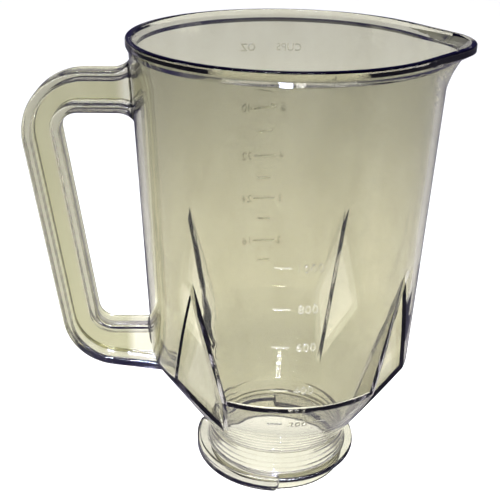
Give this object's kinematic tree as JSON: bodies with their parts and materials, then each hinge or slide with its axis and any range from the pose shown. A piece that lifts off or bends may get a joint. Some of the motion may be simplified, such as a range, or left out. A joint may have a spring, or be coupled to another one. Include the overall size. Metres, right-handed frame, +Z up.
{
  "type": "blender jar",
  "caption": "Clear moulded blender jar: tapering round body with pouring spout, I-section D-shaped handle, V flutes in the lower wall, conical bottom and open neck with a bayonet foot.",
  "frame": {"origin": "on the jar's axis, level with the underside of the foot, at the lower end of the neck's bore", "axes": "+Z up along the jar's axis, -X towards the handle, +X towards the pouring spout, which is turned 6 degrees from it, +Y to the jar's left when it pours forwards"},
  "size_m": [0.1822, 0.13, 0.2],
  "materials": {
    "clear_plastic": "clear, glossy injection-moulded plastic with a faint warm tint"
  },
  "bodies": {
    "root": {"jar": "clear_plastic"}
  },
  "joints": []
}
